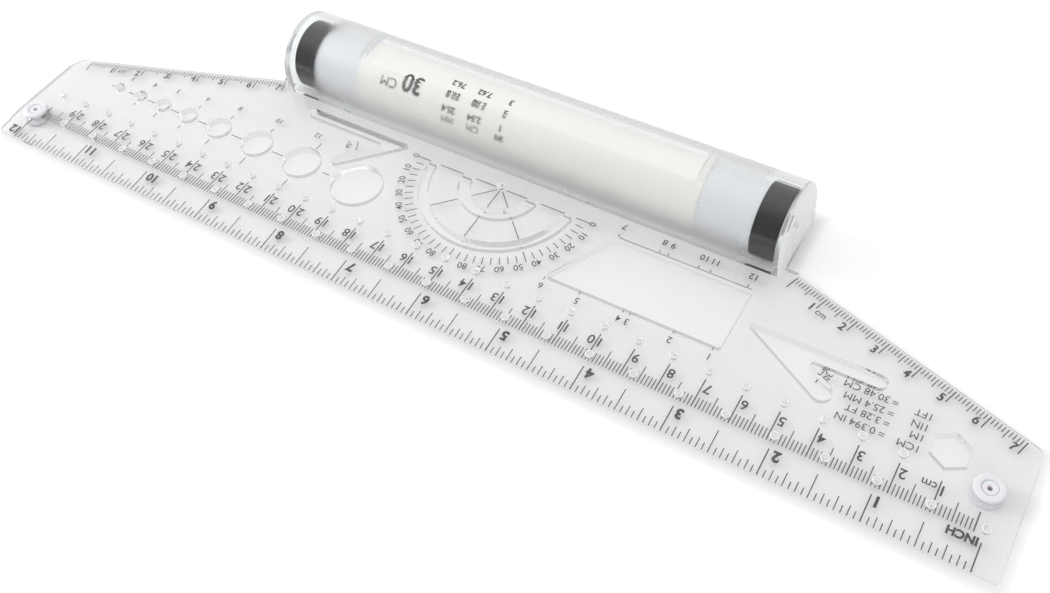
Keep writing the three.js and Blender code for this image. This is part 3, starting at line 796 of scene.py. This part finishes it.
class MouldRims(bpy.types.Operator):
    """Makes low rims round the pin holes, whose near-white, mostly opaque colour is a painted highlight ring
    round each hole
    """

    bl_idname = "ruler.mould_rims"
    bl_label = "Rims of the Pin Holes"

    def execute(self, context):
        looks = context.scene.ruler_plastic
        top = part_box("ruler_plate")[1].z / MM
        inch_row, centimetre_row = row(11.4), row(21.3)
        spots = [(INCH_ZERO_X + half * INCH / 2, inch_row) for half in range(24)]
        spots += [(CM_ZERO_X + number * CENTIMETRE, centimetre_row) for number in range(2, 31)]
        spots.append(PROTRACTOR)
        # Points of a rim's section, as its radius and its height over the plate.
        section = ((0.88, 0.01), (0.9, 0.06), (1.0, 0.1), (1.12, 0.08), (1.28, 0.01))
        steps = 20
        mesh = bmesh.new()
        for x, y in spots:
            rings = []
            for step in range(steps):
                angle = step * math.tau / steps
                ux, uy = math.cos(angle), math.sin(angle)
                rings.append([mesh.verts.new(Vector((x + radius * ux, y + radius * uy, top + height)) * MM)
                              for radius, height in section])
            for one, two in zip(rings, rings[1:] + rings[:1]):
                for i in range(len(section)):
                    j = (i + 1) % len(section)
                    mesh.faces.new((one[i], one[j], two[j], two[i])).smooth = True
        bmesh.ops.recalc_face_normals(mesh, faces=mesh.faces)
        data = bpy.data.meshes.new("pin_hole_rims")
        mesh.to_mesh(data)
        mesh.free()
        # Painted highlight: a near-white, nearly opaque ring round each pin hole on a modelled lip.
        data.materials.append(solid_plastic(
            "rim_painted_highlight", looks.rim, other=shaded(looks.rim, 0.96), roughness=0.3, spread=0.2,
            wave_scale=900.0, Alpha=looks.rim_cover))
        made = bpy.data.objects.new("pin_hole_rims", data)
        context.scene.collection.objects.link(made)
        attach(made, "ruler")
        return {"FINISHED"}


class DressHood(bpy.types.Operator):
    """Gives the hood its satin sides and its polished window"""

    bl_idname = "ruler.dress_hood"
    bl_label = "Clear Hood"

    def execute(self, context):
        looks = context.scene.ruler_plastic
        half_length, half_width, deep, before_tyre = 55.2 * MM, 7.05 * MM, 3.6 * MM, 2 * MM
        middle = AXIS_Y * MM
        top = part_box("roller_hood")[1].z
        window = ((-half_length, middle - half_width, top - deep),
                  (half_length, middle + half_width, top + deep),
                  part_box("tyre_right")[0].x - before_tyre)
        dress("roller_hood", clear_plastic(
            "clear_hood", looks.hood_tint, looks.hood_roughness, spread=0.06, looks=looks, window=window))
        return {"FINISHED"}


class DressRoller(bpy.types.Operator):
    """Gives the barrel, end plugs and axle pins their plastics and steel"""

    bl_idname = "ruler.dress_roller"
    bl_label = "Roller"

    def execute(self, context):
        looks = context.scene.ruler_roller
        dress("roller_barrel", solid_plastic(
            "white_barrel", looks.barrel, other=shaded(looks.barrel, 0.92), roughness=0.28, spread=0.12,
            scuffs=0.4))
        plug = solid_plastic(
            "grey_plug", looks.plug, other=shaded(looks.plug, 0.85), roughness=0.42, spread=0.15,
            wave_scale=500.0, depth=0.03 * MM, bump=0.3)
        pin = solid_plastic(
            "turned_steel", looks.pin, other=shaded(looks.pin, 0.8), roughness=0.3, spread=0.2,
            wave_scale=1500.0, scuffs=0.6, Metallic=1.0)
        for side in ("left", "right"):
            dress("end_plug_" + side, plug)
            dress("axle_pin_" + side, pin)
        return {"FINISHED"}


class DressTyres(bpy.types.Operator):
    """Gives the two tyres their matt black rubber"""

    bl_idname = "ruler.dress_tyres"
    bl_label = "Tyres"

    def execute(self, context):
        looks = context.scene.ruler_roller
        dust = (0.07, 0.07, 0.07)
        rubber = solid_plastic(
            "black_rubber", looks.tyre, other=dust, roughness=0.7, spread=0.2, drift=0.3, specks=0.5,
            speck_scale=1800.0, wave_scale=1600.0, scuffs=0.5, depth=0.06 * MM, bump=0.5,
            **{"Specular IOR Level": 0.25})
        for side in ("left", "right"):
            dress("tyre_" + side, rubber)
        return {"FINISHED"}


class DressLabel(bpy.types.Operator):
    """Gives the roller its cream label with a small table of lengths"""

    bl_idname = "ruler.dress_label"
    bl_label = "Roller Label"

    def execute(self, context):
        looks = context.scene.ruler_roller
        yellowed = [channel * share for channel, share in zip(looks.label, (0.95, 0.95, 0.9))]
        dress("label_sleeve", solid_plastic(
            "cream_label", looks.label, other=yellowed, roughness=0.4, spread=0.1, drift=0.7,
            wave_scale=220.0, scuffs=0.2))
        # The table's rows by the degrees that they lie above the roller's middle, its columns by their X.
        made = Print()
        columns, height = (5.5, 14.5, 23.5), 2.0
        table = {82: ("3", "7.62", "76.2"), 59: ("2", "5.08", "50.8"), 34: ("1", "2.54", "25.4"),
                 16: ("IN", "CM", "MM")}
        for degrees, words in table.items():
            for x, word in zip(columns, words):
                made.word(word, x, self.turned(90 - degrees), height,
                          weight=0.0 if "M" in word else HALF_BOLD_SHARE)
        number_x, number_height, unit_x, unit_height = 37.5, 5.2, 45.5, 2.8
        made.word("30", number_x, self.turned(38), number_height, weight=HALF_BOLD_SHARE)
        made.word("CM", unit_x, self.turned(46), unit_height)
        row_step = 0.5
        made.cut_in_rows(row_step)
        made.lay("label_print", round_sleeve, "roller", "cream_label")
        return {"FINISHED"}

    @staticmethod
    def turned(degrees):
        """How far round the label a place lies from its top, in millimetres."""
        return SLEEVE_RADIUS * math.radians(degrees)


class DressBushes(bpy.types.Operator):
    """Gives the pivot bushes, their caps and the roller's bearings their white nylon"""

    bl_idname = "ruler.dress_bushes"
    bl_label = "Bushes and Bearings"

    def execute(self, context):
        looks = context.scene.ruler_roller
        nylon = solid_plastic(
            "white_nylon", looks.bush, other=shaded(looks.bush, 0.93), roughness=0.36, spread=0.1,
            wave_scale=300.0, scuffs=0.3, **{"Subsurface Weight": 0.15, "Subsurface Scale": 1.0 * MM})
        for node in ("pivot_bush_cm", "pivot_cap_cm", "pivot_bush_inch", "pivot_cap_inch",
                     "bearing_insert_left", "bearing_insert_right"):
            dress(node, nylon)
        return {"FINISHED"}


# Studio

# Where the lamps stand and how long their sides are, in metres.
KEY_PLACE = (0.85, 0.22, 0.42)
KEY_SIDE = 0.35
FILL_PLACE = (-0.5, 0.8, 0.45)
FILL_SIDE = 0.6
# The side of the sky that is bright.
SKY_SIDE = (0.4, -0.5, 0.77)
FLOOR_COLOUR = (0.82, 0.82, 0.82)
# The camera's place, and what is right, down and ahead for it.
CAMERA_PLACE = Vector((-131.226, 168.573, 237.322)) * MM
CAMERA_RIGHT = Vector((-0.859337, -0.507078, -0.066421))
CAMERA_DOWN = Vector((-0.368432, 0.703919, -0.607253))
CAMERA_AHEAD = Vector((0.354680, -0.497363, -0.791727))


class BuildStudio(bpy.types.Operator):
    """Sets up the white floor with a painted shadow under the ruler, the soft lamps and the camera"""

    bl_idname = "ruler.build_studio"
    bl_label = "Studio"

    def execute(self, context):
        looks = context.scene.ruler_studio
        self.floor(looks)
        self.sky(context.scene, looks)
        self.lamp("key_lamp", looks.key, KEY_PLACE, KEY_SIDE)
        self.lamp("fill_lamp", looks.fill, FILL_PLACE, FILL_SIDE)
        self.camera(context.scene, looks)
        context.scene.view_settings.view_transform = "Standard"
        return {"FINISHED"}

    def seen(self, tree):
        """A socket that is 1 for rays from the camera, from reflections and through clear plastic."""
        rays = add(tree, "ShaderNodeLightPath")
        some = maths(tree, "MAXIMUM", rays.outputs["Is Camera Ray"], rays.outputs["Is Glossy Ray"])
        return maths(tree, "MAXIMUM", some, rays.outputs["Is Transmission Ray"])

    def outside(self, tree):
        """A socket with how far a point of the floor lies outside the ruler's outline, which shapes the
        floor's painted shadow.
        """
        place = add(tree, "ShaderNodeNewGeometry").outputs["Position"]
        parts = add(tree, "ShaderNodeSeparateXYZ", {0: place})
        across = maths(tree, "ABSOLUTE", parts.outputs[0])
        plate_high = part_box("ruler_plate")[1]
        hood_low, hood_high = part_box("roller_hood")
        outer, inner = Vector(SLANT_OUTER) * MM, Vector(SLANT_INNER) * MM
        along = (outer - inner).normalized()
        normal = Vector((along.y, -along.x))
        plate = self.furthest(tree, (
            ((1.0, 0.0), plate_high.x), ((0.0, 1.0), plate_high.y), (normal, normal.dot(outer)),
            ((0.0, -1.0), -hood_low.y)), across, parts.outputs[1])
        hood = self.furthest(tree, (
            ((1.0, 0.0), hood_high.x), ((0.0, -1.0), -hood_low.y), ((0.0, 1.0), hood_high.y)),
            across, parts.outputs[1])
        return maths(tree, "MINIMUM", plate, hood)

    def furthest(self, tree, sides, across, deep):
        """A socket with the largest distance outside any of some straight sides."""
        found = None
        for (nx, ny), reach in sides:
            both = maths(tree, "MULTIPLY_ADD", deep, ny, maths(tree, "MULTIPLY_ADD", across, nx, -reach))
            found = both if found is None else maths(tree, "MAXIMUM", found, both)
        return found

    def floor(self, looks):
        """The white floor, a hair under the ruler's feet, with a painted soft shadow under the ruler where
        its glow is cut.
        """
        half = looks.floor_side / 2
        drop = 0.05 * MM
        data = bpy.data.meshes.new("floor")
        corners = [(x * half, y * half, -drop) for x, y in ((-1, -1), (1, -1), (1, 1), (-1, 1))]
        data.from_pydata(corners, [], [(0, 1, 2, 3)])
        made, tree, out = empty_material("white_floor")
        # Painted shadow: the floor's glow falls from full away from the ruler to little under its outline.
        glow_with_painted_shadow = ramp(tree, self.outside(tree), 0.0, looks.floor_fade, low=looks.floor_glow_under,
                     high=looks.floor_glow, kind="SMOOTHSTEP")
        glow = maths(tree, "MULTIPLY", self.seen(tree), glow_with_painted_shadow)
        surface = add(tree, "ShaderNodeBsdfPrincipled",
                      {"Base Color": rgba(FLOOR_COLOUR), "Roughness": 0.9, "Specular IOR Level": 0.0,
                       "Emission Color": (1.0, 1.0, 1.0, 1.0), "Emission Strength": glow})
        tree.links.new(surface.outputs[0], out.inputs["Surface"])
        data.materials.append(made)
        floor = bpy.data.objects.new("floor", data)
        bpy.context.scene.collection.objects.link(floor)

    def sky(self, scene, looks):
        """White light, stronger from one side and uneven in gloss, which the camera sees as plain white."""
        world = bpy.data.worlds.new("studio")
        world.use_nodes = True
        tree = world.node_tree
        tree.nodes.clear()
        out = tree.nodes.new("ShaderNodeOutputWorld")
        place = add(tree, "ShaderNodeTexCoord").outputs["Generated"]
        facing = add(tree, "ShaderNodeVectorMath", {0: place, 1: Vector(SKY_SIDE).normalized()},
                     operation="DOT_PRODUCT").outputs["Value"]
        dim_until, dark_until = -0.3, 0.2
        light = ramp(tree, facing, dim_until, 1.0, looks.sky_low, looks.sky_high, "SMOOTHSTEP")
        mirrored = ramp(tree, facing, dark_until, 1.0, looks.sky_mirrored, looks.sky_high, "SMOOTHSTEP")
        rays = add(tree, "ShaderNodeLightPath")
        turned = maths(tree, "GREATER_THAN", rays.outputs["Glossy Depth"], 0.5)
        around = add(tree, "ShaderNodeMix", {0: turned, 2: light, 3: mirrored})
        seen = maths(tree, "MAXIMUM", rays.outputs["Is Camera Ray"], rays.outputs["Is Transmission Ray"])
        straight = maths(tree, "SUBTRACT", seen, turned, clamp=True)
        strength = add(tree, "ShaderNodeMix", {0: straight, 2: around.outputs[0], 3: 1.0})
        background = add(tree, "ShaderNodeBackground",
                         {"Color": (1.0, 1.0, 1.0, 1.0), "Strength": strength.outputs[0]})
        tree.links.new(background.outputs[0], out.inputs["Surface"])
        scene.world = world

    def lamp(self, name, power, place, side):
        """A square soft lamp that points at the ruler."""
        data = bpy.data.lights.new(name, "AREA")
        data.energy, data.size = power, side
        made = bpy.data.objects.new(name, data)
        made.location = place
        made.rotation_euler = (-Vector(place)).to_track_quat("-Z", "Y").to_euler()
        bpy.context.scene.collection.objects.link(made)

    def camera(self, scene, looks):
        """The camera, where the photograph's perspective puts it."""
        data = bpy.data.cameras.new("camera")
        data.sensor_width, data.lens, data.clip_start = 36.0, looks.lens, 0.01
        made = bpy.data.objects.new("camera", data)
        turn = Matrix((CAMERA_RIGHT, -CAMERA_DOWN, -CAMERA_AHEAD)).transposed().to_4x4()
        made.matrix_world = Matrix.Translation(CAMERA_PLACE) @ turn
        scene.collection.objects.link(made)
        scene.camera = made


class RulerPanel(bpy.types.Panel):
    """The ruler's settings and the steps that dress it."""

    bl_idname = "VIEW3D_PT_ruler"
    bl_label = "Rolling Ruler"
    bl_space_type = "VIEW_3D"
    bl_region_type = "UI"
    bl_category = "Ruler"

    def draw(self, context):
        for title, settings in GROUPS.items():
            box = self.layout.box()
            for name in settings.__annotations__:
                box.prop(getattr(context.scene, title), name)
        for step in STEPS:
            self.layout.operator(step.bl_idname)


GROUPS = {"ruler_print": PrintSettings, "ruler_plastic": PlasticSettings, "ruler_roller": RollerSettings,
          "ruler_studio": StudioSettings}
STEPS = (DressPlate, MouldRims, DressHood, DressRoller, DressTyres, DressBushes, DressLabel, PrintInchScale,
         PrintCentimetreScale, PrintSlantedScales, PrintProtractor, PrintWindowMarks, PrintCircleMarks,
         PrintTables, BuildStudio)


def register():
    """Makes the classes and the scene's settings known to Blender."""
    for made in (*GROUPS.values(), *STEPS, RulerPanel):
        bpy.utils.register_class(made)
    for title, settings in GROUPS.items():
        setattr(bpy.types.Scene, title, PointerProperty(type=settings))


def unregister():
    """Takes the settings and the classes away again."""
    for title in GROUPS:
        delattr(bpy.types.Scene, title)
    for made in reversed((*GROUPS.values(), *STEPS, RulerPanel)):
        bpy.utils.unregister_class(made)


def main():
    """Dresses the loaded frame, step by step."""
    register()
    for step in STEPS:
        area, name = step.bl_idname.split(".")
        getattr(getattr(bpy.ops, area), name)()


if __name__ == "__main__":
    main()
